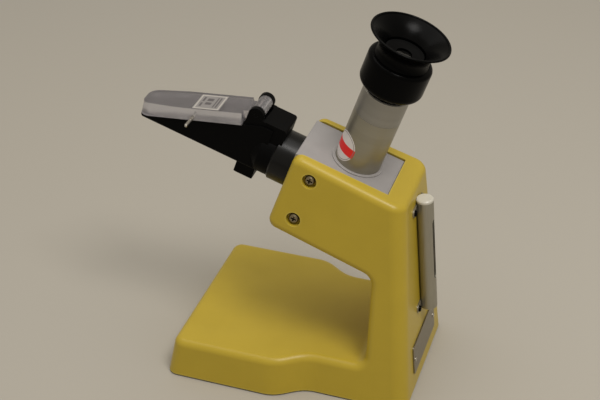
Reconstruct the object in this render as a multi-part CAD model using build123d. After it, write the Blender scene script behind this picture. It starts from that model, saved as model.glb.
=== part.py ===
"""Bench hand refractometer: a right-angled viewing tube and a prism head on a moulded stand.

World frame: +Z up, +X towards the user, origin at the middle of the foot print on the underside.
Head frame (s, y, t): s runs out along the prism head, t up along the viewing tube.
Back frame (out, y, up): out is square to the leaning back of the column, up runs along it.
Millimetres and degrees.
"""
from build123d import *
import math
import os

# ---------------------------------------------------------------- stand
base_length = 136.8
base_front_half_width = 53.4
base_height = 23.0
flare_start_x = -10.6
flare_end_x = 16.9
column_foot_half_width = 42.8
side_draft = 7.9
front_draft = 10.0
back_lean = 5.0
column_front_x = 43.2
tube_foot_x = 25.75
tube_foot_z = 128.6
tilt = 18.6
arm_front_s = 29.5
arm_rise = 1.0
arm_floor = 7.6
base_corner_round = 6.0
back_edge_round = 8.0
edge_round = 4.2
arm_nose_round = 5.0
arm_inner_round = 7.0
foot_inner_round = 6.0
pad_thickness = 1.0
pad_inset = 1.2

# ---------------------------------------------------------------- optical block
block_half_width = 18.0
block_back_s = -22.5
block_height = 36.0
block_chamfer = 0.5
axis_drop = 18.0
light_bore_r = 9.0
tunnel_r = 8.4
tube_bore_r = 9.6
mirror_thickness = 2.0
spigot_r = 11.4
spigot_length = 6.5

# ---------------------------------------------------------------- block screws (M3, cross head)
screw_s = 17.0
screw_pitch = 24.3
screw_top_drop = 7.9
screw_r = 1.5
screw_length = 12.0
screw_head_r = 2.75
screw_head_height = 1.9
screw_recess_r = 4.0
screw_recess_depth = 2.5
screw_crown = 0.35
screw_tip_room = 1.0
cross_width = 0.9
cross_reach = 1.6
cross_depth = 1.1

# ---------------------------------------------------------------- viewing tube
tube_r = 12.5
tube_length = 31.6
foot_ring_r = 14.2
foot_ring_height = 0.7
sleeve_chamfer = 0.5
lap_length = 5.0
neck_r = 11.4
tube_inner_r = 9.4
reticle_thickness = 1.5
reticle_seat_r = 10.3

# ---------------------------------------------------------------- eyepiece, heights above the tube
focus_travel = 2.0
neck_end = 25.9
guide_pin_r = 0.8
guide_pin_t = 18.9
carriage_wall = 1.2
carriage_low = 10.4
carriage_top = 39.0
carriage_flange_r = 12.5
flange_low = 30.8
flange_height = 1.8
lens_edge = 2.2
lens_sag = 1.0
lens_ring_height = 1.3
lens_ring_wall = 5.2
lens_seat_step = 0.35
bezel_land = 0.8
bezel_lip = 0.4
field_ring_wall = 1.2
ring_low = 16.8
ring_height = 18.1
ring_r = 16.9
ring_low_round = 3.8
ring_top_round = 2.4
eyecup_foot_r = 13.6
eyecup_shoulder_r = 14.4
eyecup_waist_r = 13.8
eyecup_waist_rise = 3.1
eyecup_rim_r = 21.0
eyecup_rim_rise = 13.5
eyecup_rim_wall = 1.4
eyecup_wall = 1.6
eyecup_bore_r = 10.9
eyecup_bore_rise = 1.0

# ---------------------------------------------------------------- prism head
collar_r = 14.5
collar_length = 12.0
collar_round = 0.8
tail_r = 11.9
tail_length = 6.0
neck_body_r = 13.4
body_half_width = 10.0
body_start_s = 46.0
neck_taper_s = 53.0
neck_taper = 4.0
body_depth = 10.2
body_tip_height = 0.8015
body_tip_round = 5.0
belly_round = 1.8
face_angle = 22.7
face_s = 57.5
face_t = -2.3
objective_r = 9.5
objective_pocket = 4.8
objective_ring_wall = 1.5
objective_sag = 0.4
prism_start_s = 66.0
prism_end_s = 104.0
prism_half_width = 7.4
prism_floor = 7.6
seal_thickness = 0.6
seal_depth = 2.4

# ---------------------------------------------------------------- hinge and cover plate
hinge_s = 57.3
hinge_t = 4.2
ear_r = 4.3
ear_outer = 9.3
ear_inner = 6.5
ear_root = 2.0
knuckle_clearance = 0.5
knuckle_r = 3.9
hinge_pin_r = 1.1
hinge_block_back_s = 39.0
hinge_block_front_s = 52.2
hinge_block_t = 2.8
hinge_block_half_width = 9.0
hinge_block_round = 1.0
plate_thickness = 6.0
plate_back_s = 62.4
plate_tip_s = 118.0
plate_half_width = 11.0
plate_top_half_width = 9.2
plate_tip_round = 6.5
plate_tip_slope = 1.5
plate_neck_half_width = 5.6
plate_web_start = 0.4
plate_web_lap = 3.0
plate_web_lift = 1.4
plate_waist = 22.0
plate_nose_share = 0.78
lift_pin_r = 0.9
lift_pin_s = 87.9
lift_pin_rise = 1.6
lift_pin_inner_y = 5.0
lift_pin_outer_y = 20.5

# ---------------------------------------------------------------- calibration screw
lug_front_s = 59.2
lug_back_s = 48.3
lug_half_width = 7.0
lug_drop = 8.9
lug_round = 1.0
lug_root = 2.0
cal_screw_r = 1.5
cal_head_r = 2.5
cal_head_height = 1.6
cal_screw_reach = 1.0
cal_slot_width = 0.7
cal_slot_depth = 0.8

# ---------------------------------------------------------------- thermometer and back plate
guard_r = 4.7
guard_wall = 0.8
guard_out = 4.1
guard_low = 43.0
guard_high = 111.0
guard_slot_half_width = 2.1
guard_slot_low = 62.0
guard_slot_high = 100.0
cap_height = 1.6
cap_round = 0.6
cap_spigot = 2.5
stem_seat = 0.8
plug_height = 3.0
glass_r = 1.9
bulb_r = 1.4
bulb_length = 12.0
bulb_taper = 2.0
scale_thickness = 0.5
scale_half_width = 2.6
tab_low_rise = 2.8
tab_high_drop = 3.4
tab_half_height = 2.3
tab_thickness = 0.8
tab_screw_y = 8.3
tab_screw_r = 1.0
tab_screw_head_r = 1.7
tab_screw_head_height = 1.0
tab_screw_length = 6.0
tab_cross_width = 0.5
tab_cross_reach = 1.0
nameplate_half_width = 23.0
nameplate_low = 11.0
nameplate_high = 29.0
nameplate_thickness = 0.8
nameplate_round = 1.5
nameplate_pin_r = 0.8
nameplate_pin_inset = 2.6
nameplate_pin_length = 5.0
nameplate_pin_head_r = 1.3
nameplate_pin_head = 0.6

# ---------------------------------------------------------------- clearances
body_gap = 0.3
running_gap = 0.07
fit_gap = 0.05
joint_line = 0.15
far = 400.0
cut_over = 1.0
match_tol = 0.01
wedge_over = 10.0

# ---------------------------------------------------------------- derived places
tilt_sin = math.sin(math.radians(tilt))
tilt_cos = math.cos(math.radians(tilt))
lean_sin = math.sin(math.radians(back_lean))
lean_cos = math.cos(math.radians(back_lean))
base_front_x = -base_length / 2
base_back_x = base_length / 2
arm_depth = block_height + arm_floor
tab_low = guard_low + tab_low_rise
tab_high = guard_high - tab_high_drop
face_slope = math.tan(math.radians(face_angle))
body_floor_t = -axis_drop - body_depth
body_tip_s = face_s + (face_t - body_floor_t - body_tip_height) / face_slope
carriage_r = reticle_seat_r - running_gap
sleeve_end = ring_low - focus_travel - body_gap
eye_lens_low = carriage_top - lens_ring_height - lens_sag - lens_edge
ring_top = ring_low + ring_height
eyecup_waist_t = ring_top + eyecup_waist_rise
eyecup_rim_t = ring_top + eyecup_rim_rise
HEAD = Plane(origin=(tube_foot_x, 0, tube_foot_z), x_dir=(-tilt_cos, 0, tilt_sin),
             z_dir=(tilt_sin, 0, tilt_cos))
EYEPIECE = HEAD.offset(tube_length)
BACK = Plane(origin=(base_back_x, 0, 0), x_dir=(lean_cos, 0, lean_sin),
             z_dir=(-lean_sin, 0, lean_cos))
FACE = Plane(origin=(face_s, 0, face_t), x_dir=(math.cos(math.radians(face_angle)), 0,
             -math.sin(math.radians(face_angle))),
             z_dir=(math.sin(math.radians(face_angle)), 0, math.cos(math.radians(face_angle))))


# ---------------------------------------------------------------- helpers
def half_width_at(z):
    """Half width of the drafted column at height z."""
    return column_foot_half_width - z * math.tan(math.radians(side_draft))


def back_x_at(z):
    """X of the leaning back face at height z."""
    return base_back_x - z * math.tan(math.radians(back_lean))


def head_point(s, t):
    """World (x, z) of a head-frame point on the mirror plane."""
    return (tube_foot_x - s * tilt_cos + t * tilt_sin, tube_foot_z + s * tilt_sin + t * tilt_cos)


def face_t_at(s):
    """Height t of the measuring face at s."""
    return face_t - (s - face_s) * face_slope


def line_hit(p, q, a, b):
    """Point where the line through p and q meets the line through a and b."""
    d = (q[0] - p[0], q[1] - p[1])
    e = (b[0] - a[0], b[1] - a[1])
    k = ((a[0] - p[0]) * e[1] - (a[1] - p[1]) * e[0]) / (d[0] * e[1] - d[1] * e[0])
    return (p[0] + k * d[0], p[1] + k * d[1])


def turned(points):
    """Solid of revolution about Z from (radius, height) points."""
    return revolve(Plane.XZ * make_face(Polyline(*points, close=True)), Axis.Z)


def turned_along_s(points):
    """Solid of revolution about the optical axis, from (radius, s) points in the head frame."""
    return Pos(0, 0, -axis_drop) * Rot(0, 90, 0) * turned(points)


def ring(outer, inner, low, high):
    """Plain ring about Z."""
    return turned([(inner, low), (outer, low), (outer, high), (inner, high)])


def rod(radius, low, high):
    """Plain rod about Z."""
    return Pos(0, 0, (low + high) / 2) * Cylinder(radius, high - low)


def cross_rod(radius, x, z, y_from, y_to):
    """Rod parallel to Y."""
    return Pos(x, (y_from + y_to) / 2, z) * Rot(90, 0, 0) * Cylinder(radius, abs(y_to - y_from))


def slab(x0, x1, y0, y1, z0, z1):
    """Box between two corners."""
    return Pos((x0 + x1) / 2, (y0 + y1) / 2, (z0 + z1) / 2) * Box(x1 - x0, y1 - y0, z1 - z0)


def side_cut(points, half_width):
    """Prism with the given (x, z) outline, half_width to each side of the mirror plane."""
    return extrude(Plane.XZ * make_face(Polyline(*points, close=True)), amount=half_width, both=True)


def edge_break(solid, edge):
    """Angle in degrees between the two faces that meet at an edge."""
    faces = [f for f in solid.faces() if any(edge.is_same(e) for e in f.edges())]
    if len(faces) < 2:
        return 0.0
    middle = edge.position_at(0.5)
    return faces[0].normal_at(middle).get_angle(faces[1].normal_at(middle))


def lens(radius, edge, sag, low):
    """Double convex lens about Z whose edge cylinder starts at height low."""
    rise = RadiusArc((radius, low + edge), (0, low + edge + sag), -(radius ** 2 + sag ** 2) / (2 * sag))
    fall = RadiusArc((0, low - sag), (radius, low), -(radius ** 2 + sag ** 2) / (2 * sag))
    outline = [Line((0, low + edge + sag), (0, low - sag)), fall,
               Line((radius, low), (radius, low + edge)), rise]
    return revolve(Plane.XZ * make_face(outline), Axis.Z)


def cross_head_screw(head_r, head_height, shank_r, shank_length, width, reach, depth):
    """Pan-head screw about Z, head on top of z = 0, with a cross recess."""
    head = rod(head_r, 0, head_height)
    head = chamfer(head.edges().group_by(Axis.Z)[-1], head_height * screw_crown)
    screw = head + rod(shank_r, -shank_length, 0)
    for turn in (0, 90):
        blade = slab(-reach, reach, -width / 2, width / 2, head_height - depth, head_height + cut_over)
        screw -= Rot(0, 0, turn) * blade
    return screw


# ---------------------------------------------------------------- stand
def base_outline(z, inset=0.0):
    """Plan outline of the flared front of the base at height z, drawn in by an inset."""
    front = base_front_x + z * math.tan(math.radians(front_draft)) + inset
    wide = base_front_half_width - z * math.tan(math.radians(side_draft)) - inset
    narrow = half_width_at(z) - inset
    near = Spline((flare_start_x, -wide), (flare_end_x, -narrow), tangents=[(1, 0), (1, 0)])
    beyond = Spline((flare_end_x, narrow), (flare_start_x, wide), tangents=[(-1, 0), (-1, 0)])
    walls = [Line((front, -wide), (flare_start_x, -wide)), near,
             Line((flare_end_x, -narrow), (flare_end_x, narrow)), beyond,
             Line((flare_start_x, wide), (front, wide)), Line((front, wide), (front, -wide))]
    outline = make_face(walls)
    corners = outline.vertices().filter_by(lambda v: abs(v.X - front) < match_tol)
    return Pos(0, 0, z) * fillet(corners, base_corner_round)


def stand_profile():
    """Side outline of the column, arm and rear of the base, with its inner corners rounded."""
    top_line = (head_point(0, arm_rise), head_point(arm_front_s, arm_rise))
    under_line = (head_point(0, -arm_depth), head_point(arm_front_s, -arm_depth))
    back_line = ((back_x_at(0), 0), (back_x_at(base_height), base_height))
    front_line = ((column_front_x, 0), (column_front_x, base_height))
    top_back = line_hit(*top_line, *back_line)
    inner = line_hit(*under_line, *front_line)
    start_x = (flare_start_x + flare_end_x) / 2
    points = [(start_x, pad_thickness), (back_x_at(pad_thickness), pad_thickness), top_back,
              top_line[1], under_line[1], inner, (column_front_x, base_height),
              (start_x, base_height)]
    outline = make_face(Polyline(*points, close=True))

    def corner(face, point):
        return face.vertices().sort_by_distance((point[0], point[1], 0))[:1]

    outline = fillet(corner(outline, inner), arm_inner_round)
    outline = fillet(corner(outline, (column_front_x, base_height)), foot_inner_round)
    outline = fillet(corner(outline, under_line[1]), arm_nose_round)
    return fillet(corner(outline, top_line[1]), arm_nose_round)


def column_wedge():
    """Tall trapezium across the stand that gives both sides their draft."""
    top_z = head_point(arm_front_s, arm_rise)[1] + wedge_over
    points = [(-half_width_at(0), 0), (half_width_at(0), 0), (half_width_at(top_z), top_z),
              (-half_width_at(top_z), top_z)]
    return extrude(Plane.YZ * make_face(Polyline(*points, close=True)), amount=far, both=True)


def screw_places():
    """(s, t, cheek half width) of the two screws on each side of the block."""
    places = []
    for drop in (screw_top_drop, screw_top_drop + screw_pitch):
        places.append((screw_s, -drop, half_width_at(head_point(screw_s, -drop)[1])))
    return places


def make_stand_moulding():
    """Thick drafted C-shaped stand with a slot for the block."""
    column = extrude(Plane.XZ * stand_profile(), amount=far, both=True) & column_wedge()
    tall = [e for e in column.edges() if abs(e.center().X - back_x_at(e.center().Z)) < 0.1
            and e.length > base_height * 2 and abs(e.center().Y) > 1]
    column = fillet(tall, back_edge_round)
    flare = loft([base_outline(pad_thickness), base_outline(base_height)], ruled=True)
    stand = column + flare
    rim = [e for e in stand.edges() if e.bounding_box().max.Z > pad_thickness + match_tol
           and edge_break(stand, e) > 8]
    stand = fillet(rim, edge_round)
    slot = slab(block_back_s, arm_front_s + far / 4, -block_half_width, block_half_width,
                -block_height, far / 4)
    stand -= HEAD * slot
    for s, t, cheek in screw_places():
        hole = cross_rod(screw_r + fit_gap, s, t, -far / 4, far / 4)
        seats = [cross_rod(screw_recess_r, s, t, side * (cheek - screw_recess_depth), side * far / 4)
                 for side in (-1, 1)]
        stand -= HEAD * (hole + seats)
    stand -= BACK * Pos(guard_out, 0, 0) * rod(guard_r + fit_gap, guard_low - fit_gap,
                                               guard_high + cap_height + fit_gap)
    for y, up in tab_screw_places():
        stand -= BACK * Pos(0, y, up) * Rot(0, 90, 0) * rod(tab_screw_r + fit_gap,
                                                            -tab_screw_length, 1)
    for y in nameplate_pin_places():
        stand -= BACK * Pos(0, y, nameplate_middle()) * Rot(0, 90, 0) * rod(
            nameplate_pin_r + fit_gap, -nameplate_pin_length, 1)
    return stand


def make_base_pad():
    """Non-slip sheet under the whole foot print."""
    back_x = back_x_at(pad_thickness) - pad_inset
    half_width = half_width_at(pad_thickness) - pad_inset
    rear = Pos((flare_end_x + back_x) / 2, 0, pad_thickness) * Rectangle(
        back_x - flare_end_x, 2 * half_width)
    rear = fillet(rear.vertices().group_by(Axis.X)[-1], back_edge_round - pad_inset)
    front = base_outline(pad_thickness, pad_inset)
    return extrude(front, amount=-pad_thickness) + extrude(rear, amount=-pad_thickness)


# ---------------------------------------------------------------- optical block
def mirror_layer(low, high):
    """Everything between two planes parallel to the mirror, measured up from its bright face."""
    middle = (low + high) / 2
    return Pos(0, 0, -axis_drop) * Rot(0, 45, 0) * Pos(0, 0, middle) * Box(far, far, high - low)


def make_optical_block():
    """Block bored down from the viewing tube and in from the prism head."""
    block = slab(block_back_s, arm_front_s, -block_half_width, block_half_width, -block_height, 0)
    block = chamfer(block.edges().group_by(Axis.Z)[-1], block_chamfer)
    above_seat = mirror_layer(-mirror_thickness, far / 2)
    above_face = mirror_layer(0, far / 2)
    block -= rod(tube_bore_r, -block_height, cut_over) & above_seat
    front = arm_front_s + cut_over
    block -= turned_along_s([(0, -tube_bore_r), (light_bore_r, -tube_bore_r),
                             (light_bore_r, front), (0, front)]) & above_face
    block -= rod(spigot_r + fit_gap, -spigot_length - fit_gap, cut_over)
    seat_s = arm_front_s - spigot_length - fit_gap
    block -= turned_along_s([(0, seat_s), (spigot_r + fit_gap, seat_s),
                             (spigot_r + fit_gap, front), (0, front)])
    for s, t, cheek in screw_places():
        tip = cheek - screw_recess_depth - screw_length - screw_tip_room
        for side in (-1, 1):
            block -= cross_rod(screw_r + fit_gap, s, t, side * tip, side * far / 4)
    return HEAD * block


def make_fold_mirror():
    """Elliptical flat bonded on the sloping floor of the tube bore."""
    return HEAD * (rod(tube_bore_r - fit_gap, -block_height, 0) & mirror_layer(-mirror_thickness, 0))


def make_block_screws():
    """Two screws a side, heads sunk in the cheeks."""
    screws = []
    for s, t, cheek in screw_places():
        for side in (-1, 1):
            screw = cross_head_screw(screw_head_r, screw_head_height, screw_r, screw_length,
                                     cross_width, cross_reach, cross_depth)
            turn = Rot(-90 * side, 0, 0)
            screws.append(HEAD * Pos(s, side * (cheek - screw_recess_depth), t) * turn * screw)
    return Compound(children=screws)


# ---------------------------------------------------------------- viewing tube
def make_foot_ring():
    """Low ring that covers the joint between tube and block."""
    return HEAD * ring(foot_ring_r, tube_r + fit_gap, 0, foot_ring_height)


def make_barrel_tube():
    """Lower tube: spigot in the block, spigot in the sleeve, seat for the reticle."""
    lap_top = tube_length + lap_length
    seat_low = lap_top - 2 * reticle_thickness - joint_line
    points = [(tube_inner_r, -spigot_length), (spigot_r, -spigot_length), (spigot_r, 0), (tube_r, 0),
              (tube_r, tube_length), (neck_r, tube_length), (neck_r, lap_top),
              (reticle_seat_r, lap_top), (reticle_seat_r, seat_low), (tube_inner_r, seat_low)]
    return HEAD * turned(points)


def make_reticle():
    """Glass disc that carries the scale."""
    low = lap_length - 2 * reticle_thickness - joint_line
    return EYEPIECE * rod(reticle_seat_r - fit_gap, low, low + reticle_thickness)


def make_reticle_ring():
    """Ring that holds the reticle down."""
    high = lap_length - joint_line
    return EYEPIECE * ring(reticle_seat_r - fit_gap, tube_inner_r, high - reticle_thickness, high)


def make_barrel_sleeve():
    """Upper sleeve, clear of the focus ring at the low end of its travel."""
    bore_r = neck_r + fit_gap
    points = [(bore_r, joint_line), (tube_r, joint_line), (tube_r, sleeve_end - sleeve_chamfer),
              (tube_r - sleeve_chamfer, sleeve_end), (bore_r, sleeve_end)]
    return EYEPIECE * turned(points)


def make_focus_neck():
    """Neck inside the sleeve that the focus ring turns on."""
    neck = ring(neck_r, reticle_seat_r, lap_length, neck_end)
    neck -= Pos(0, 0, guide_pin_t) * Rot(0, 90, 0) * rod(guide_pin_r + fit_gap, -far, 0)
    return EYEPIECE * neck


def make_guide_pin():
    """Pin through the neck that keeps the lens carriage from turning."""
    length = neck_r - (carriage_r - carriage_wall)
    pin = Rot(0, 90, 0) * rod(guide_pin_r, -neck_r + fit_gap, -neck_r + length)
    return EYEPIECE * Pos(0, 0, guide_pin_t) * pin


# ---------------------------------------------------------------- eyepiece
def make_lens_carriage():
    """Sliding tube that carries both eyepiece lenses."""
    inner = carriage_r - carriage_wall
    seat = lens_seat_r()
    field_top = carriage_low + lens_ring_height + lens_edge + 2 * lens_sag
    points = [(seat, carriage_low), (carriage_r, carriage_low), (carriage_r, flange_low),
              (carriage_flange_r, flange_low), (carriage_flange_r, flange_low + flange_height),
              (carriage_r, flange_low + flange_height), (carriage_r, carriage_top),
              (seat, carriage_top), (seat, eye_lens_low - lens_sag), (inner, eye_lens_low - lens_sag),
              (inner, field_top), (seat, field_top)]
    carriage = turned(points)
    reach = focus_travel + body_gap
    slot = Pos(0, 0, guide_pin_t) * Rot(0, 90, 0) * extrude(
        SlotCenterToCenter(2 * reach, 2 * (guide_pin_r + running_gap)), amount=-far)
    return EYEPIECE * (carriage - slot)


def lens_seat_r():
    """Radius of the lens pockets in the carriage."""
    return carriage_r - carriage_wall + lens_seat_step


def make_eye_lens():
    """Upper lens, under the eyecup."""
    return EYEPIECE * lens(lens_seat_r() - fit_gap, lens_edge, lens_sag, eye_lens_low)


def make_field_lens():
    """Lower lens."""
    return EYEPIECE * lens(lens_seat_r() - fit_gap, lens_edge, lens_sag,
                       carriage_low + lens_ring_height + lens_sag)


def make_eye_lens_ring():
    """Black bezel that holds the eye lens."""
    low = carriage_top - lens_ring_height
    outer = lens_seat_r() - fit_gap
    points = [(outer - lens_ring_wall, low), (outer, low), (outer, carriage_top),
              (outer - bezel_land, carriage_top), (outer - lens_ring_wall, low + bezel_lip)]
    return EYEPIECE * turned(points)


def make_field_lens_ring():
    """Ring that holds the field lens."""
    outer = lens_seat_r() - fit_gap
    return EYEPIECE * ring(outer, outer - field_ring_wall, carriage_low, carriage_low + lens_ring_height)


def make_focus_ring():
    """Grip ring that turns on the neck and lifts the lens carriage."""
    thread_r = neck_r + body_gap
    pocket_r = carriage_flange_r + body_gap
    pocket_low = flange_low - body_gap
    pocket_top = flange_low + flange_height + body_gap
    points = [(thread_r, ring_low), (ring_r, ring_low), (ring_r, ring_top),
              (eyecup_foot_r, ring_top), (eyecup_foot_r, pocket_top), (pocket_r, pocket_top),
              (pocket_r, pocket_low), (thread_r, pocket_low)]
    body = turned(points)
    for level, rounding in ((ring_low, ring_low_round), (ring_top, ring_top_round)):
        outer = [e for e in body.edges().filter_by(GeomType.CIRCLE)
                 if abs(e.radius - ring_r) < match_tol and abs(e.center().Z - level) < match_tol]
        body = fillet(outer, rounding)
    return EYEPIECE * body


def make_eyecup():
    """Rubber cup: foot in the focus ring, waist, and a flared lip."""
    foot_t = flange_low + flange_height + body_gap
    lip = eyecup_rim_wall / 2
    rise = eyecup_rim_t - eyecup_waist_t
    swell = eyecup_rim_r - eyecup_waist_r
    outside = Spline((eyecup_shoulder_r, ring_top), (eyecup_waist_r, eyecup_waist_t),
                     (eyecup_waist_r + 0.40 * swell, eyecup_waist_t + 0.58 * rise),
                     (eyecup_rim_r, eyecup_rim_t - lip))
    bowl_low = (eyecup_bore_r, carriage_top + eyecup_bore_rise)
    inside = Spline((eyecup_rim_r - eyecup_rim_wall, eyecup_rim_t - lip),
                    (eyecup_waist_r + 0.40 * swell - 0.6 * eyecup_wall,
                     eyecup_waist_t + 0.58 * rise + 0.8 * eyecup_wall), bowl_low)
    rim = ThreePointArc((eyecup_rim_r, eyecup_rim_t - lip), (eyecup_rim_r - lip, eyecup_rim_t),
                        (eyecup_rim_r - eyecup_rim_wall, eyecup_rim_t - lip))
    wall = Polyline(bowl_low, (eyecup_bore_r, foot_t), (eyecup_foot_r, foot_t),
                    (eyecup_foot_r, ring_top), (eyecup_shoulder_r, ring_top))
    return EYEPIECE * revolve(Plane.XZ * make_face([outside, rim, inside, wall]), Axis.Z)


# ---------------------------------------------------------------- prism head
def collar_end():
    """Front of the collar along s."""
    return arm_front_s + collar_length


def make_head_collar():
    """Round collar between block and prism body."""
    start = arm_front_s
    tail_start = collar_end() - tail_length - fit_gap
    points = [(light_bore_r, start - spigot_length), (spigot_r, start - spigot_length),
              (spigot_r, start), (collar_r, start), (collar_r, collar_end()),
              (tail_r + fit_gap, collar_end()), (tail_r + fit_gap, tail_start),
              (light_bore_r, tail_start)]
    collar = turned_along_s(points)
    outer = [e for e in collar.edges().filter_by(GeomType.CIRCLE) if abs(e.radius - collar_r) < match_tol]
    return HEAD * chamfer(outer, collar_round)


def prism_solid(margin):
    """Wedge-shaped glass under the measuring face, grown sideways by a margin."""
    floor = -axis_drop - prism_floor
    back, front = prism_start_s - margin, prism_end_s + margin
    points = [(back, face_t_at(back)), (front, face_t_at(front)), (front, floor), (back, floor)]
    return side_cut(points, prism_half_width + margin)


def ear_pair():
    """Two round-topped ears beside the knuckle."""
    root = face_t_at(hinge_s + ear_r) - ear_root
    ears = []
    for side in (-1, 1):
        inner, outer = side * ear_inner, side * ear_outer
        ears.append(cross_rod(ear_r, hinge_s, hinge_t, inner, outer))
        ears.append(slab(hinge_s - ear_r, hinge_s + ear_r, min(inner, outer), max(inner, outer),
                         root, hinge_t))
        ears.append(slab(hinge_block_front_s - cut_over, hinge_s, min(inner, outer),
                         max(inner, outer), root, hinge_block_t))
    return ears


def make_prism_body():
    """Black wedge body: neck, hinge block and ears, face rim, light tunnel, calibration lug."""
    floor = body_floor_t
    neck = turned_along_s([(0, collar_end() - tail_length), (tail_r, collar_end() - tail_length),
                           (tail_r, collar_end()), (neck_body_r, collar_end()),
                           (neck_body_r, neck_taper_s - neck_taper), (body_half_width, neck_taper_s),
                           (0, neck_taper_s)])
    wedge = side_cut([(body_start_s, floor), (body_tip_s, floor),
                      (body_tip_s, face_t_at(body_tip_s)),
                      (hinge_block_front_s, face_t_at(hinge_block_front_s)),
                      (body_start_s, face_t_at(hinge_block_front_s))], body_half_width)
    plan = slab(0, body_tip_s, -body_half_width, body_half_width, floor - cut_over, far)
    nose = plan.edges().filter_by(Axis.Z).group_by(Axis.X)[-1]
    section = slab(0, far, -body_half_width, body_half_width, floor, far)
    belly = section.edges().filter_by(Axis.X).group_by(Axis.Z)[0]
    wedge = wedge & fillet(nose, body_tip_round) & fillet(belly, belly_round)
    deck = side_cut([(hinge_block_back_s, -axis_drop + body_half_width),
                     (hinge_block_front_s, -axis_drop), (hinge_block_front_s, hinge_block_t),
                     (hinge_block_back_s + hinge_block_round, hinge_block_t),
                     (hinge_block_back_s, hinge_block_t - hinge_block_round)],
                    hinge_block_half_width)
    saddle_r = collar_r + joint_line
    deck -= turned_along_s([(0, arm_front_s), (saddle_r, arm_front_s),
                            (saddle_r, collar_end() + joint_line), (0, collar_end() + joint_line)])
    lug = slab(lug_back_s, lug_front_s, -lug_half_width, lug_half_width, floor - lug_drop,
               floor + lug_root)
    lug = chamfer(lug.edges().group_by(Axis.Z)[0], lug_round)
    body = neck + wedge + deck + ear_pair() + lug
    body -= cross_rod(knuckle_r + knuckle_clearance, hinge_s, hinge_t, -ear_inner, ear_inner)
    body -= cross_rod(hinge_pin_r + fit_gap, hinge_s, hinge_t, -ear_outer - cut_over,
                      ear_outer + cut_over)
    tail_start = collar_end() - tail_length
    body -= turned_along_s([(0, tail_start - cut_over), (objective_r, tail_start - cut_over),
                            (objective_r, tail_start + objective_pocket),
                            (tunnel_r, tail_start + objective_pocket),
                            (tunnel_r, prism_start_s), (0, prism_start_s)])
    body -= prism_solid(seal_thickness)
    head_floor = floor - lug_drop + cal_head_height + body_gap
    drill = Pos((lug_front_s + lug_back_s) / 2, 0, 0)
    body -= drill * rod(cal_screw_r + running_gap, floor - lug_drop - cut_over, floor + cal_screw_reach
                        + body_gap)
    body -= drill * rod(cal_head_r + body_gap, floor - lug_drop - cut_over, head_floor)
    return HEAD * body


def make_measuring_prism():
    """Glass prism whose upper face takes the sample."""
    return HEAD * prism_solid(0)


def make_prism_seal():
    """Thin rubber frame round the prism, flush with the face."""
    layer = FACE * slab(-far, far, -far, far, -seal_depth, 1)
    return HEAD * ((prism_solid(seal_thickness) - prism_solid(0)) & layer)


def make_objective_lens():
    """Lens in the tail of the prism body."""
    start = collar_end() - tail_length + objective_pocket - lens_edge - joint_line
    glass = lens(objective_r - fit_gap, lens_edge, objective_sag, start)
    return HEAD * Pos(0, 0, -axis_drop) * Rot(0, 90, 0) * glass


def make_objective_ring():
    """Ring that holds the objective lens."""
    start = collar_end() - tail_length
    ring_length = objective_pocket - joint_line - lens_edge - objective_sag
    return HEAD * turned_along_s([(objective_r - objective_ring_wall, start),
                                  (objective_r - fit_gap, start),
                                  (objective_r - fit_gap, start + ring_length),
                                  (objective_r - objective_ring_wall, start + ring_length)])


# ---------------------------------------------------------------- hinge and cover plate
def plate_outline(half_width, tip, level):
    """Plan outline of the cover plate in the face frame at one level."""
    back = (plate_back_s - face_s) / math.cos(math.radians(face_angle))
    front = (tip - face_s) / math.cos(math.radians(face_angle))
    waist = front - plate_waist
    nose = half_width * plate_nose_share
    points = [(back, -half_width), (waist, -half_width), (front, -nose), (front, nose),
              (waist, half_width), (back, half_width)]
    outline = make_face(Polyline(*points, close=True))
    tip_corners = outline.vertices().filter_by(lambda v: v.X > front - match_tol)
    return Pos(0, 0, level) * fillet(tip_corners, plate_tip_round * half_width / plate_half_width)


def make_cover_plate():
    """Clear plate with sloping sides, a round nose and a knuckle between the ears."""
    low, high = body_gap, body_gap + plate_thickness
    plate = loft([plate_outline(plate_half_width, plate_tip_s, low),
                  plate_outline(plate_top_half_width, plate_tip_s - plate_tip_slope, high)],
                 ruled=True)
    plate = FACE * plate
    half = ear_inner - body_gap
    knuckle = cross_rod(knuckle_r, hinge_s, hinge_t, -half, half)
    web = FACE * slab(plate_web_start, (plate_back_s - face_s) + plate_web_lap,
                      -plate_neck_half_width, plate_neck_half_width, low + plate_web_lift, high)
    plate = plate + knuckle + web
    plate -= cross_rod(hinge_pin_r + running_gap, hinge_s, hinge_t, -far, far)
    plate -= lift_pin_solid(fit_gap)
    return HEAD * plate


def lift_pin_solid(margin):
    """Cross pin through one side of the plate, grown by a margin."""
    along = (lift_pin_s - face_s) / math.cos(math.radians(face_angle))
    pin = cross_rod(lift_pin_r + margin, along, body_gap + lift_pin_rise, lift_pin_inner_y - margin,
                    lift_pin_outer_y + margin)
    return FACE * pin


def make_lift_pin():
    """Steel pin with a round tip for lifting the plate."""
    along = (lift_pin_s - face_s) / math.cos(math.radians(face_angle))
    pin = cross_rod(lift_pin_r, along, body_gap + lift_pin_rise, lift_pin_inner_y, lift_pin_outer_y)
    tip = pin.edges().group_by(Axis.Y)[-1]
    return HEAD * FACE * fillet(tip, lift_pin_r * 0.8)


def make_hinge_pin():
    """Pin through both ears and the knuckle."""
    return HEAD * cross_rod(hinge_pin_r, hinge_s, hinge_t, -ear_outer, ear_outer)


def make_calibration_screw():
    """Captive slotted screw in the lug."""
    low = body_floor_t - lug_drop
    screw = rod(cal_head_r, low, low + cal_head_height)
    screw += rod(cal_screw_r, low + cal_head_height, body_floor_t + cal_screw_reach)
    screw -= slab(-far, far, -cal_slot_width / 2, cal_slot_width / 2, low - cut_over,
                  low + cal_slot_depth)
    return HEAD * Pos((lug_front_s + lug_back_s) / 2, 0, 0) * screw


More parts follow.
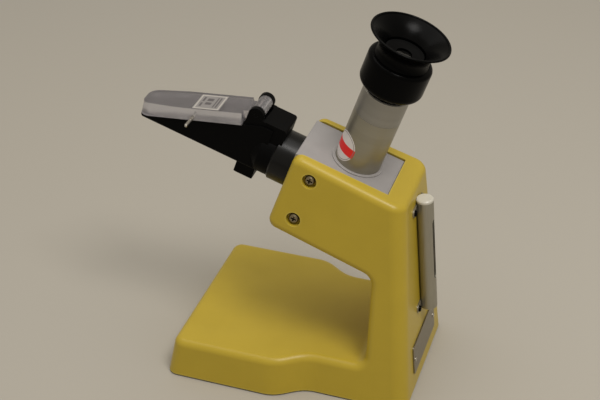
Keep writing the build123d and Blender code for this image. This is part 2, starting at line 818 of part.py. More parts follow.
# ---------------------------------------------------------------- thermometer and back plate
def tab_screw_places():
    """(y, up) of the four tab screws."""
    return [(side * tab_screw_y, up) for up in (tab_low, tab_high) for side in (-1, 1)]


def nameplate_middle():
    """Height of the plate's middle along the back."""
    return (nameplate_low + nameplate_high) / 2


def nameplate_pin_places():
    """Y of the two drive pins."""
    return [side * (nameplate_half_width - nameplate_pin_inset) for side in (-1, 1)]


def make_thermometer_guard():
    """Tube with a long window that shields the thermometer."""
    tube = ring(guard_r, guard_r - guard_wall, guard_low, guard_high)
    window_length = guard_slot_high - guard_slot_low
    window = Pos(0, 0, (guard_slot_low + guard_slot_high) / 2) * Rot(0, 90, 0) * extrude(
        SlotOverall(window_length, 2 * guard_slot_half_width), amount=far)
    return BACK * Pos(guard_out, 0, 0) * (tube - window)


def make_guard_cap():
    """White cap on the guard's upper end."""
    inner = guard_r - guard_wall - fit_gap
    cap = rod(guard_r, guard_high, guard_high + cap_height)
    cap = chamfer(cap.edges().group_by(Axis.Z)[-1], cap_round)
    cap += rod(inner, guard_high - cap_spigot, guard_high)
    cap -= rod(glass_r + fit_gap, guard_high - cap_spigot - cut_over, guard_high + stem_seat)
    return BACK * Pos(guard_out, 0, 0) * cap


def make_guard_plug():
    """Plug in the guard's lower end, which carries the thermometer."""
    inner = guard_r - guard_wall - fit_gap
    plug = rod(inner, guard_low, guard_low + plug_height)
    plug -= rod(bulb_r + fit_gap, guard_low + stem_seat, guard_low + plug_height + cut_over)
    return BACK * Pos(guard_out, 0, 0) * plug


def make_thermometer():
    """Glass stem with a narrower bulb at its foot."""
    low = guard_low + stem_seat + fit_gap
    high = guard_high + stem_seat - fit_gap
    shoulder = guard_low + bulb_length
    points = [(0, low), (bulb_r, low), (bulb_r, shoulder - bulb_taper), (glass_r, shoulder),
              (glass_r, high), (0, high)]
    return BACK * Pos(guard_out, 0, 0) * turned(points)


def make_thermometer_scale():
    """Flat scale strip behind the stem."""
    back = glass_r + fit_gap
    strip = slab(-back - scale_thickness, -back, -scale_half_width, scale_half_width,
                 guard_low + plug_height, guard_high - cap_spigot - fit_gap)
    return BACK * Pos(guard_out, 0, 0) * strip


def make_guard_tabs():
    """Four round-ended tabs on the guard's back, which take its screws."""
    tabs = []
    guard = Pos(guard_out, 0, 0) * rod(guard_r + fit_gap, guard_low, guard_high)
    for y, up in tab_screw_places():
        reach = abs(y)
        plate = Pos(0, y, up) * Rot(0, 90, 0) * rod(tab_half_height, 0, tab_thickness)
        plate += slab(0, tab_thickness, min(0, y), max(0, y), up - tab_half_height,
                      up + tab_half_height)
        plate -= slab(-1, 1 + tab_thickness, -reach, 0, 0, far) if y > 0 else slab(
            -1, 1 + tab_thickness, 0, reach, 0, far)
        plate -= Pos(0, y, up) * Rot(0, 90, 0) * rod(tab_screw_r + fit_gap, -cut_over,
                                                       tab_thickness + cut_over)
        tabs.append(BACK * (plate - guard))
    return Compound(children=tabs)


def make_tab_screws():
    """Four small screws through the tabs."""
    screws = []
    for y, up in tab_screw_places():
        screw = cross_head_screw(tab_screw_head_r, tab_screw_head_height, tab_screw_r,
                                 tab_screw_length, tab_cross_width, tab_cross_reach,
                                 tab_cross_width)
        screws.append(BACK * Pos(tab_thickness, y, up) * Rot(0, 90, 0) * screw)
    return Compound(children=screws)


def make_nameplate():
    """Blank metal plate low on the back."""
    plate = slab(0, nameplate_thickness, -nameplate_half_width, nameplate_half_width,
                 nameplate_low, nameplate_high)
    plate = fillet(plate.edges().filter_by(Axis.X), nameplate_round)
    for y in nameplate_pin_places():
        plate -= Pos(0, y, nameplate_middle()) * Rot(0, 90, 0) * rod(
            nameplate_pin_r + fit_gap, -cut_over, nameplate_thickness + cut_over)
    return BACK * plate


def make_nameplate_pins():
    """Two domed drive pins."""
    pins = []
    for y in nameplate_pin_places():
        head = rod(nameplate_pin_head_r, 0, nameplate_pin_head)
        head = chamfer(head.edges().group_by(Axis.Z)[-1], nameplate_pin_head / 2)
        pin = head + rod(nameplate_pin_r, -nameplate_pin_length + nameplate_thickness, 0)
        pins.append(BACK * Pos(nameplate_thickness, y, nameplate_middle()) * Rot(0, 90, 0) * pin)
    return Compound(children=pins)


PARTS = {
    "stand_moulding": make_stand_moulding, "base_pad": make_base_pad,
    "optical_block": make_optical_block, "fold_mirror": make_fold_mirror,
    "block_screws": make_block_screws, "foot_ring": make_foot_ring,
    "barrel_tube": make_barrel_tube, "reticle": make_reticle, "reticle_ring": make_reticle_ring,
    "barrel_sleeve": make_barrel_sleeve, "focus_neck": make_focus_neck,
    "guide_pin": make_guide_pin,
    "lens_carriage": make_lens_carriage, "eye_lens": make_eye_lens,
    "eye_lens_ring": make_eye_lens_ring, "field_lens": make_field_lens,
    "field_lens_ring": make_field_lens_ring, "focus_ring": make_focus_ring,
    "eyecup": make_eyecup, "head_collar": make_head_collar, "prism_body": make_prism_body,
    "measuring_prism": make_measuring_prism, "prism_seal": make_prism_seal,
    "objective_lens": make_objective_lens, "objective_ring": make_objective_ring,
    "hinge_pin": make_hinge_pin, "cover_plate": make_cover_plate, "lift_pin": make_lift_pin,
    "calibration_screw": make_calibration_screw, "thermometer_guard": make_thermometer_guard,
    "guard_cap": make_guard_cap, "guard_plug": make_guard_plug, "thermometer": make_thermometer,
    "thermometer_scale": make_thermometer_scale, "guard_tabs": make_guard_tabs,
    "tab_screws": make_tab_screws, "nameplate": make_nameplate,
    "nameplate_pins": make_nameplate_pins,
}

os.makedirs("parts", exist_ok=True)
for name, make in PARTS.items():
    export_step(make(), f"parts/{name}.step")
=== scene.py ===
"""Looks of a bench refractometer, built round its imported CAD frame.

Lengths are in metres in the frame of the CAD model: +X runs from the prism head to the user,
Z is up, and the origin lies on the underside of the stand, in the middle of its footprint.
"""

from __future__ import annotations

import logging
import math
from abc import ABC, abstractmethod
from dataclasses import dataclass
from enum import Enum
from typing import Iterator, Sequence, Union

import bmesh
import bpy
from mathutils import Matrix, Vector


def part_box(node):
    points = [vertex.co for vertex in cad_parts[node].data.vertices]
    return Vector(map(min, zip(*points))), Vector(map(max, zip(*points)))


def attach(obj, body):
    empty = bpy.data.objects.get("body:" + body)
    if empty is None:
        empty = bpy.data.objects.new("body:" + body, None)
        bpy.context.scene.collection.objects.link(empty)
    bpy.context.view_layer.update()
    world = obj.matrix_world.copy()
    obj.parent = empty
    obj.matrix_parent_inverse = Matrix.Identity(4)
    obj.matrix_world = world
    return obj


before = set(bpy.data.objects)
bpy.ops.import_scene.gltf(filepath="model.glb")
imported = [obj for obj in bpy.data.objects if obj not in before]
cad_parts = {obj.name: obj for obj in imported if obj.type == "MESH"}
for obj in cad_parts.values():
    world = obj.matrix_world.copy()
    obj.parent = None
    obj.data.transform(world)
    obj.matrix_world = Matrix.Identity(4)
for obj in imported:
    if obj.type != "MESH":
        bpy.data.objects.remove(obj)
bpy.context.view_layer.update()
LOG = logging.getLogger("refractometer")

MM = 0.001
WELD = 0.001 * MM  # vertices closer than this are one
CREASE = math.radians(35.0)  # edges turned by more than this stay sharp
FOOT_RING_HALF = 0.35 * MM  # half the height of the ring at the foot of the tube
Colour = tuple[float, float, float, float]
Direction = tuple[float, float, float]
Value = Union[float, Sequence[float], bpy.types.NodeSocket]


def tone(red: int, green: int, blue: int) -> Colour:
    """Linear colour of an 8-bit sRGB triple.

    Args:
        red: Red level, 0 to 255.
        green: Green level, 0 to 255.
        blue: Blue level, 0 to 255.

    Returns:
        The linear colour with an alpha of 1.
    """
    levels = [level / 255 for level in (red, green, blue)]
    linear = [v / 12.92 if v <= 0.04045 else ((v + 0.055) / 1.055) ** 2.4 for v in levels]
    return (linear[0], linear[1], linear[2], 1.0)


def scaled(colour: Colour, share: float, lift: float = 0.0) -> Colour:
    """Lighter or darker version of a colour.

    Args:
        colour: The colour.
        share: Factor on each channel.
        lift: Amount added to each channel.

    Returns:
        The new colour, no channel above 1.
    """
    red, green, blue = (min(1.0, channel * share + lift) for channel in colour[:3])
    return (red, green, blue, 1.0)


DUST_TONE = tone(176, 170, 160)


class Body(Enum):
    """CAD bodies that a piece can ride on."""

    STAND = "stand"
    CARRIAGE = "carriage"
    FOCUS = "focus"
    COVER = "cover"
    CALIBRATION = "calibration"


def leaning(degrees: float) -> Direction:
    """Direction that leans from upright towards +X by an angle."""
    return (math.sin(math.radians(degrees)), 0.0, math.cos(math.radians(degrees)))


class Axle(Enum):
    """Directions of the viewing tube, the prism head, the hinge, the back and the cover's face."""

    TUBE = leaning(18.6)
    OPTIC = leaning(18.6 - 90.0)
    ACROSS = (0.0, 1.0, 0.0)
    UP = leaning(-5.0)
    FACE = leaning(-4.1)


# ------------------------------------------------------------------ node graphs
class Graph:
    """Short calls for wiring one node tree."""

    def __init__(self, tree: bpy.types.NodeTree) -> None:
        """Keeps the tree that the other methods wire."""
        self.tree = tree

    def add(self, kind: str, **settings: object) -> bpy.types.Node:
        """Adds a node.

        Args:
            kind: Node type name.
            **settings: Node properties to set.

        Returns:
            The new node.
        """
        node = self.tree.nodes.new(kind)
        for key, value in settings.items():
            setattr(node, key, value)
        return node

    def feed(self, socket: bpy.types.NodeSocket, value: Value) -> None:
        """Links a socket or sets its value.

        Args:
            socket: Input to feed.
            value: Another socket, a number or a colour.
        """
        if isinstance(value, bpy.types.NodeSocket):
            self.tree.links.new(value, socket)
        else:
            socket.default_value = value

    def calc(self, operation: str, *values: Value, clamp: bool = False) -> bpy.types.NodeSocket:
        """Adds a math node.

        Args:
            operation: Math operation name.
            *values: Operands.
            clamp: Whether the result stays between 0 and 1.

        Returns:
            The result.
        """
        node = self.add("ShaderNodeMath", operation=operation, use_clamp=clamp)
        for socket, value in zip(node.inputs, values):
            self.feed(socket, value)
        return node.outputs[0]

    def vector(self, operation: str, *values: Value) -> bpy.types.Node:
        """Adds a vector math node.

        Args:
            operation: Vector operation name.
            *values: Operands.

        Returns:
            The node, whose output depends on the operation.
        """
        node = self.add("ShaderNodeVectorMath", operation=operation)
        for socket, value in zip(node.inputs, values):
            self.feed(socket, value)
        return node

    def blend(self, factor: Value, first: Value, second: Value) -> bpy.types.NodeSocket:
        """Mixes two colours.

        Args:
            factor: Share of the second colour.
            first: Colour at 0.
            second: Colour at 1.

        Returns:
            The mixed colour.
        """
        node = self.add("ShaderNodeMix", data_type="RGBA")
        for index, value in zip((0, 6, 7), (factor, first, second)):
            self.feed(node.inputs[index], value)
        return node.outputs[2]

    def fit(self, value: Value, low: Value, high: Value, to_low: float = 0.0,
            to_high: float = 1.0) -> bpy.types.NodeSocket:
        """Maps one range to another, clamped.

        Args:
            value: Value to map.
            low: Start of its range.
            high: End of its range.
            to_low: Result at the start.
            to_high: Result at the end.

        Returns:
            The mapped value.
        """
        node = self.add("ShaderNodeMapRange")
        for socket, given in zip(node.inputs, (value, low, high, to_low, to_high)):
            self.feed(socket, given)
        return node.outputs[0]

    def window(self, value: Value, low: float, high: float, blur: float) -> bpy.types.NodeSocket:
        """Mask of the values between two limits.

        Args:
            value: Value to test.
            low: Lower limit.
            high: Upper limit.
            blur: Width of each soft flank.

        Returns:
            The mask.
        """
        return self.calc("MULTIPLY", self.fit(value, low - blur, low),
                         self.fit(value, high, high + blur, 1.0, 0.0))

    def layer(self, base: Value, mask: Value, share: float, colour: Value) -> bpy.types.NodeSocket:
        """Lays a colour over another through a mask.

        Args:
            base: Colour under it.
            mask: Where it lies.
            share: How much of it shows at full mask.
            colour: Colour to lay.

        Returns:
            The layered colour.
        """
        return self.blend(self.calc("MULTIPLY", mask, share), base, colour)

    def noise(self, place: Value, scale: Value, detail: float = 2.0) -> bpy.types.NodeSocket:
        """Adds a noise texture.

        Args:
            place: Coordinates.
            scale: Cells per metre.
            detail: Octaves.

        Returns:
            The noise value, about 0.5 on average.
        """
        node = self.add("ShaderNodeTexNoise")
        self.feed(node.inputs["Vector"], place)
        self.feed(node.inputs["Scale"], scale)
        self.feed(node.inputs["Detail"], detail)
        return node.outputs[0]


class Effects:
    """Shader groups that several finishes share, each built once."""

    def __init__(self) -> None:
        """Builds every group."""
        self.worn_and_lit_edge = self._worn_and_lit_edge()
        self.grain = self._grain()
        self.turned = self._turned()
        self.brushed = self._brushed()
        self.dust = self._dust()
        self.cavity = self._cavity()

    @staticmethod
    def _noise_along(graph: Graph, along: Value, scale: float,
                     detail: float) -> bpy.types.NodeSocket:
        """Noise that changes along one direction only.

        Args:
            graph: Graph to wire.
            along: Distance along the direction.
            scale: Cells per unit of it.
            detail: Octaves.

        Returns:
            The noise value.
        """
        node = graph.add("ShaderNodeTexNoise", noise_dimensions="1D")
        graph.feed(node.inputs["W"], along)
        graph.feed(node.inputs["Scale"], scale)
        graph.feed(node.inputs["Detail"], detail)
        return node.outputs[0]

    @staticmethod
    def _open(name: str, inputs: dict[str, tuple[str, float]],
              outputs: Sequence[str]) -> tuple[Graph, bpy.types.Node, bpy.types.Node]:
        """Starts a group.

        Args:
            name: Group name.
            inputs: Socket kind and starting value for each input.
            outputs: Names of its float outputs.

        Returns:
            Its graph, input node and output node.
        """
        tree = bpy.data.node_groups.new(name, "ShaderNodeTree")
        for label, (kind, start) in inputs.items():
            socket = tree.interface.new_socket(name=label, in_out="INPUT", socket_type=kind)
            if kind == "NodeSocketFloat":
                socket.default_value = start
        for label in outputs:
            tree.interface.new_socket(name=label, in_out="OUTPUT", socket_type="NodeSocketFloat")
        graph = Graph(tree)
        return graph, graph.add("NodeGroupInput"), graph.add("NodeGroupOutput")

    def _worn_and_lit_edge(self) -> bpy.types.NodeTree:
        """Mask of outer edges, where a finish is rubbed or thins out, and where edges are painted lighter as
        a highlight.

        Returns:
            The group.
        """
        graph, given, made = self._open(
            "worn_and_lit_edge", {"Radius": ("NodeSocketFloat", 0.001)}, ["Mask"])
        bevel = graph.add("ShaderNodeBevel", samples=6)
        graph.feed(bevel.inputs["Radius"], given.outputs["Radius"])
        flat = graph.add("ShaderNodeNewGeometry").outputs["Normal"]
        turn = graph.vector("DOT_PRODUCT", bevel.outputs[0], flat).outputs["Value"]
        shade = graph.add("ShaderNodeAmbientOcclusion", samples=4, only_local=True)
        graph.feed(shade.inputs["Distance"], 4 * MM)
        open_side = graph.fit(shade.outputs["AO"], 0.45, 0.9)
        edge = graph.fit(graph.calc("SUBTRACT", 1.0, turn), 0.01, 0.18)
        graph.feed(made.inputs["Mask"], graph.calc("MULTIPLY", edge, open_side))
        return graph.tree

    def _grain(self) -> bpy.types.NodeTree:
        """Fine even grain and slow mottling of a cast or sprayed surface.

        Returns:
            The group.
        """
        graph, given, made = self._open(
            "cast_grain",
            {"Vector": ("NodeSocketVector", 0.0), "Scale": ("NodeSocketFloat", 3000.0)},
            ["Height", "Mottle"])
        place, scale = given.outputs["Vector"], given.outputs["Scale"]
        graph.feed(made.inputs["Height"], graph.noise(place, scale, 3.0))
        slow = graph.noise(place, graph.calc("MULTIPLY", scale, 0.02), 4.0)
        graph.feed(made.inputs["Mottle"], graph.fit(slow, 0.3, 0.7))
        return graph.tree

    def _turned(self) -> bpy.types.NodeTree:
        """Marks that a lathe tool leaves round an axis.

        Returns:
            The group.
        """
        graph, given, made = self._open(
            "turning_marks",
            {"Vector": ("NodeSocketVector", 0.0), "Axis": ("NodeSocketVector", 0.0),
             "Pitch": ("NodeSocketFloat", 0.3 * MM)}, ["Height", "Band"])
        place, axis, pitch = (given.outputs[label] for label in ("Vector", "Axis", "Pitch"))
        along = graph.vector("DOT_PRODUCT", place, axis).outputs["Value"]
        fine = self._noise_along(graph, graph.calc("DIVIDE", along, pitch), 1.0, 4.0)
        broad = self._noise_along(graph, along, 220.0, 2.0)
        graph.feed(made.inputs["Height"], fine)
        graph.feed(made.inputs["Band"], graph.fit(broad, 0.3, 0.7))
        return graph.tree

    def _brushed(self) -> bpy.types.NodeTree:
        """Long scratches of a brushed sheet.

        Returns:
            The group.
        """
        graph, given, made = self._open(
            "brush_lines",
            {"Vector": ("NodeSocketVector", 0.0), "Stretch": ("NodeSocketVector", 0.0)},
            ["Height"])
        place, stretch = given.outputs["Vector"], given.outputs["Stretch"]
        drawn = graph.vector("MULTIPLY", place, stretch).outputs["Vector"]
        graph.feed(made.inputs["Height"], graph.noise(drawn, 1.0, 3.0))
        return graph.tree

    def _dust(self) -> bpy.types.NodeTree:
        """Specks and a thin film on faces that look up.

        Returns:
            The group.
        """
        graph, given, made = self._open(
            "settled_dust",
            {"Vector": ("NodeSocketVector", 0.0), "Amount": ("NodeSocketFloat", 0.1)}, ["Mask"])
        split = graph.add("ShaderNodeSeparateXYZ")
        graph.feed(split.inputs[0], graph.add("ShaderNodeNewGeometry").outputs["Normal"])
        level = graph.fit(split.outputs["Z"], 0.3, 1.0)
        place = given.outputs["Vector"]
        specks = graph.fit(graph.noise(place, 900.0, 2.0), 0.66, 0.74)
        film = graph.fit(graph.noise(place, 60.0, 5.0), 0.35, 0.75, 0.1, 0.6)
        cover = graph.calc("MAXIMUM", specks, film)
        amount = graph.calc("MULTIPLY", level, given.outputs["Amount"])
        graph.feed(made.inputs["Mask"], graph.calc("MULTIPLY", cover, amount, clamp=True))
        return graph.tree

    def _cavity(self) -> bpy.types.NodeTree:
        """Mask of narrow recesses, where shade is painted darker.

        Returns:
            The group.
        """
        graph, given, made = self._open(
            "cavity_painted_shade", {"Reach": ("NodeSocketFloat", 0.001)}, ["Mask"])
        shade = graph.add("ShaderNodeAmbientOcclusion", samples=6)
        graph.feed(shade.inputs["Distance"], given.outputs["Reach"])
        graph.feed(made.inputs["Mask"], graph.fit(shade.outputs["AO"], 0.35, 0.85, 1.0, 0.0))
        return graph.tree


class Mix:
    """A material while it is being mixed: one Principled shader and its graph."""

    def __init__(self, name: str) -> None:
        """Starts an empty material.

        Args:
            name: Material name.
        """
        self.material = bpy.data.materials.new(name)
        self.material.use_nodes = True
        self.material.node_tree.nodes.clear()
        self.graph = Graph(self.material.node_tree)
        self.shader = self.graph.add("ShaderNodeBsdfPrincipled")
        end = self.graph.add("ShaderNodeOutputMaterial")
        self.graph.feed(end.inputs["Surface"], self.shader.outputs[0])
        self.place = self.graph.add("ShaderNodeTexCoord").outputs["Object"]

    def use(self, tree: bpy.types.NodeTree, **inputs: Value) -> bpy.types.Node:
        """Places a shared group.

        Args:
            tree: The group.
            **inputs: Its input values by name.

        Returns:
            The group node.
        """
        node = self.graph.add("ShaderNodeGroup", node_tree=tree)
        for label, value in inputs.items():
            self.graph.feed(node.inputs[label], value)
        return node

    def set(self, **inputs: Value) -> None:
        """Sets sockets of the Principled shader.

        Args:
            **inputs: Socket names with underscores for spaces.
        """
        for label, value in inputs.items():
            self.graph.feed(self.shader.inputs[label.replace("_", " ")], value)

    def relief(self, height: Value, depth: float) -> None:
        """Feeds the shader's normal from a height.

        Args:
            height: Height between 0 and 1.
            depth: Depth of the relief in metres.
        """
        bump = self.graph.add("ShaderNodeBump")
        self.graph.feed(bump.inputs["Height"], height)
        self.graph.feed(bump.inputs["Distance"], depth)
        self.graph.feed(self.shader.inputs["Normal"], bump.outputs[0])


# ------------------------------------------------------------------ finishes
@dataclass(frozen=True)
class Finish(ABC):
    """A surface finish that can be made into a material."""

    name: str

    @abstractmethod
    def mix(self, effects: Effects) -> bpy.types.Material:
        """Makes the material from the shared effects."""


@dataclass(frozen=True)
class Coated(Finish):
    """Cast, sprayed or moulded opaque surface with rubbed edges that are partly a painted highlight, painted
    shade in recesses and a little dust.
    """

    colour: Colour
    edge_colour: Colour
    roughness: float = 0.4
    specular: float = 0.5
    grain_scale: float = 3000.0
    grain_depth: float = 0.02 * MM
    mottle: float = 0.08
    edge_radius: float = 0.6 * MM
    edge_share: float = 0.5
    dust: float = 0.06
    dust_matt: float = 0.3
    painted_shade: float = 0.0
    painted_shade_reach: float = 1.2 * MM
    painted_shade_tone: Colour = tone(40, 32, 18)

    def mix(self, effects: Effects) -> bpy.types.Material:
        """Makes the material.

        Args:
            effects: Shared shader groups.

        Returns:
            The material.
        """
        made = Mix(self.name)
        graph = made.graph
        grain = made.use(effects.grain, Vector=made.place, Scale=self.grain_scale)
        mottle = grain.outputs["Mottle"]
        # edge mask: rubbed wear and a painted highlight on outer edges
        edge = made.use(effects.worn_and_lit_edge, Radius=self.edge_radius).outputs["Mask"]
        dust = made.use(effects.dust, Vector=made.place, Amount=self.dust).outputs["Mask"]
        # cavity mask: painted shade in recesses and creases
        painted_shade = made.use(effects.cavity, Reach=self.painted_shade_reach).outputs["Mask"]
        base = graph.blend(mottle, scaled(self.colour, 1 - self.mottle),
                           scaled(self.colour, 1 + self.mottle))
        base = graph.layer(base, edge, self.edge_share, self.edge_colour)
        base = graph.blend(dust, base, DUST_TONE)
        base = graph.layer(base, painted_shade, self.painted_shade, self.painted_shade_tone)
        rough = graph.fit(mottle, 0.0, 1.0, self.roughness * 0.9, self.roughness * 1.1)
        rough = graph.calc("ADD", rough, graph.calc("MULTIPLY", dust, self.dust_matt), clamp=True)
        made.set(Base_Color=base, Roughness=rough, Specular_IOR_Level=self.specular)
        made.relief(grain.outputs["Height"], self.grain_depth)
        return made.material


@dataclass(frozen=True)
class Turned(Finish):
    """Metal turned on a lathe, with fine marks round its axis and edges lightened partly as a painted glint.
    """

    colour: Colour
    axle: Axle
    roughness: float = 0.35
    metallic: float = 1.0
    pitch: float = 0.25 * MM
    depth: float = 0.004 * MM
    band: float = 0.06
    haze_scale: float = 2500.0
    edge_radius: float = 0.4 * MM
    edge_share: float = 0.6
    edge_gain: float = 1.5
    edge_lift: float = 0.05

    def mix(self, effects: Effects) -> bpy.types.Material:
        """Makes the material.

        Args:
            effects: Shared shader groups.

        Returns:
            The material.
        """
        made = Mix(self.name)
        graph = made.graph
        marks = made.use(effects.turned, Vector=made.place, Axis=self.axle.value, Pitch=self.pitch)
        haze = made.use(effects.grain, Vector=made.place, Scale=self.haze_scale).outputs["Mottle"]
        # edge mask: rubbed wear and a painted glint on outer edges
        edge = made.use(effects.worn_and_lit_edge, Radius=self.edge_radius).outputs["Mask"]
        shade = scaled(self.colour, 1 - self.band)
        base = graph.blend(marks.outputs["Band"], shade, self.colour)
        base = graph.layer(base, haze, self.band, shade)
        # lighter edge tone: part wear, part painted glint
        edge_wear_and_glint = scaled(self.colour, self.edge_gain, self.edge_lift)
        base = graph.layer(base, edge, self.edge_share, edge_wear_and_glint)
        height = marks.outputs["Height"]
        rough = graph.fit(height, 0.25, 0.75, self.roughness * 0.85, self.roughness * 1.2)
        made.set(Base_Color=base, Roughness=rough, Metallic=self.metallic)
        made.relief(height, self.depth)
        return made.material


@dataclass(frozen=True)
class Brushed(Finish):
    """Sheet metal brushed one way, with edges lightened partly as a painted glint and painted shade in
    recesses.
    """

    colour: Colour
    stretch: tuple[float, float, float]
    roughness: float = 0.35
    metallic: float = 1.0
    depth: float = 0.006 * MM
    shade: float = 0.86
    haze: float = 0.3
    haze_scale: float = 2000.0
    edge_radius: float = 0.4 * MM
    edge_share: float = 0.6
    edge_gain: float = 1.4
    edge_lift: float = 0.05
    painted_shade: float = 0.3
    painted_shade_reach: float = 1.4 * MM
    painted_shade_tone: Colour = tone(14, 11, 8)

    def mix(self, effects: Effects) -> bpy.types.Material:
        """Makes the material.

        Args:
            effects: Shared shader groups.

        Returns:
            The material.
        """
        made = Mix(self.name)
        graph = made.graph
        lines = made.use(effects.brushed, Vector=made.place, Stretch=self.stretch).outputs["Height"]
        haze = made.use(effects.grain, Vector=made.place, Scale=self.haze_scale).outputs["Mottle"]
        # edge mask: rubbed wear and a painted glint on outer edges
        edge = made.use(effects.worn_and_lit_edge, Radius=self.edge_radius).outputs["Mask"]
        # cavity mask: painted shade in recesses, such as screw crosses
        painted_shade = made.use(effects.cavity, Reach=self.painted_shade_reach).outputs["Mask"]
        shade = scaled(self.colour, self.shade)
        base = graph.blend(graph.fit(lines, 0.35, 0.65), shade, self.colour)
        base = graph.layer(base, haze, self.haze, shade)
        # lighter edge tone: part wear, part painted glint
        edge_wear_and_glint = scaled(self.colour, self.edge_gain, self.edge_lift)
        base = graph.layer(base, edge, self.edge_share, edge_wear_and_glint)
        base = graph.layer(base, painted_shade, self.painted_shade, self.painted_shade_tone)
        rough = graph.fit(lines, 0.3, 0.7, self.roughness * 0.8, self.roughness * 1.25)
        made.set(Base_Color=base, Roughness=rough, Metallic=self.metallic)
        made.relief(lines, self.depth)
        return made.material


@dataclass(frozen=True)
class Clear(Finish):
    """Glass or clear plastic with haze and wiping marks, whose sides may get a lighter tint as painted
    light.
    """

    tint: Colour
    lit_side_tint: Union[Colour, None] = None
    facing: Axle = Axle.FACE
    ior: float = 1.49
    roughness: float = 0.03
    haze: float = 0.06
    milk: float = 0.0
    specular: float = 0.5
    wipe_scale: float = 400.0
    wipe_depth: float = 0.002 * MM

    def mix(self, effects: Effects) -> bpy.types.Material:
        """Makes the material.

        Args:
            effects: Shared shader groups.

        Returns:
            The material.
        """
        made = Mix(self.name)
        graph = made.graph
        film = made.use(effects.grain, Vector=made.place, Scale=self.wipe_scale)
        smear = film.outputs["Mottle"]
        rough = graph.fit(smear, 0.0, 1.0, self.roughness, self.roughness + self.haze)
        tint: Value = self.tint
        # painted light: faces turned away from the facing direction get the lighter tint
        if self.lit_side_tint:
            turned = graph.add("ShaderNodeTexCoord").outputs["Normal"]
            level = graph.vector("DOT_PRODUCT", turned, self.facing.value).outputs["Value"]
            tint = graph.blend(graph.fit(level, 0.6, 0.97), self.lit_side_tint, self.tint)
        made.set(Base_Color=tint, Roughness=rough, IOR=self.ior,
                 Specular_IOR_Level=self.specular, Transmission_Weight=1.0 - self.milk)
        made.relief(film.outputs["Height"], self.wipe_depth)
        return made.material


@dataclass(frozen=True)
class Printed(Finish):
    """Paper or film label: a ground, plain printed bars and a fine border, on its own UV map.

    Each bar is given as left, right, low and high, from the middle of the label in shares of it.
    """

    ground: Colour
    ink: Colour
    line: Colour
    bars: tuple[tuple[float, float, float, float], ...]
    border: tuple[float, float]
    round_label: bool = False
    roughness: float = 0.45
    bar_blur: float = 0.008
    line_blur: float = 0.006
    fibre_scale: float = 4000.0
    fibre_depth: float = 0.006 * MM
    stain: float = 0.86

    def mix(self, effects: Effects) -> bpy.types.Material:
        """Makes the material.

        Args:
            effects: Shared shader groups.

        Returns:
            The material.
        """
        made = Mix(self.name)
        graph = made.graph
        sheet = graph.add("ShaderNodeUVMap").outputs[0]
        centred = graph.vector("SUBTRACT", sheet, (0.5, 0.5, 0.0)).outputs["Vector"]
        split = graph.add("ShaderNodeSeparateXYZ")
        graph.feed(split.inputs[0], centred)
        across, up = split.outputs["X"], split.outputs["Y"]
        if self.round_label:
            reach = graph.vector("LENGTH", centred).outputs["Value"]
        else:
            sides = (graph.calc("ABSOLUTE", side) for side in (across, up))
            reach = graph.calc("MAXIMUM", *sides)
        printed: Value = 0.0
        for left, right, low, high in self.bars:
            bar = graph.calc("MULTIPLY", graph.window(across, left, right, self.bar_blur),
                             graph.window(up, low, high, self.bar_blur))
            printed = graph.calc("MAXIMUM", printed, bar)
        fibre = made.use(effects.grain, Vector=made.place, Scale=self.fibre_scale)
        height = fibre.outputs["Height"]
        base = graph.blend(fibre.outputs["Mottle"], scaled(self.ground, self.stain), self.ground)
        base = graph.blend(printed, base, self.ink)
        base = graph.blend(graph.window(reach, *self.border, self.line_blur), base, self.line)
        rough = graph.fit(height, 0.3, 0.7, self.roughness * 0.9, self.roughness * 1.1)
        made.set(Base_Color=base, Roughness=rough)
        made.relief(height, self.fibre_depth)
        return made.material


class FinishShop:
    """Makes each finish once and hands out its material."""

    def __init__(self, effects: Effects) -> None:
        """Keeps the shared effects."""
        self.effects = effects
        self.made: dict[str, bpy.types.Material] = {}

    def get(self, finish: Finish) -> bpy.types.Material:
        """Material of a finish.

        Args:
            finish: The finish.

        Returns:
            Its material, made on first use.
        """
        if finish.name not in self.made:
            self.made[finish.name] = finish.mix(self.effects)
        return self.made[finish.name]


# Edges are lightened partly as a painted highlight; recesses and creases are darkened as painted shade.
YELLOW_CAST = Coated("yellow_cast", tone(183, 157, 47), tone(216, 198, 100), roughness=0.34,
                     specular=0.35, grain_scale=2600.0, grain_depth=0.025 * MM, mottle=0.03,
                     edge_radius=1.6 * MM, edge_share=0.4, dust=0.02, painted_shade=0.5)
PAD_RUBBER = Coated("pad_rubber", tone(36, 34, 31), tone(60, 57, 52), roughness=0.85,
                    specular=0.25, grain_depth=0.05 * MM)
GREY_BLOCK = Coated("grey_block", tone(150, 145, 142), tone(186, 182, 178), roughness=0.5,
                    specular=0.4, grain_scale=5000.0, grain_depth=0.012 * MM, mottle=0.05)
BLACK_METAL = Coated("black_metal", tone(8, 8, 8), tone(50, 48, 47), roughness=0.42,
                     specular=0.04, grain_scale=6000.0, grain_depth=0.008 * MM,
                     edge_radius=0.3 * MM, edge_share=0.2, dust=0.005)
BLACK_SATIN = Coated("black_satin", tone(9, 9, 9), tone(60, 58, 57), roughness=0.27,
                     specular=0.25, grain_scale=6000.0, grain_depth=0.006 * MM,
                     edge_radius=0.3 * MM, edge_share=0.25, dust=0.005)
BLACK_BORE = Coated("black_bore", tone(5, 5, 5), tone(14, 14, 14), roughness=0.7, specular=0.08,
                    dust=0.0)
GRIP_RUBBER = Coated("grip_rubber", tone(5, 5, 5), tone(18, 18, 18), roughness=0.23,
                     specular=0.05, grain_scale=5000.0, edge_radius=0.4 * MM, edge_share=0.2,
                     dust=0.01)
WHITE_PLASTIC = Coated("white_plastic", tone(202, 196, 180), tone(226, 222, 210), roughness=0.35,
                       grain_depth=0.01 * MM)
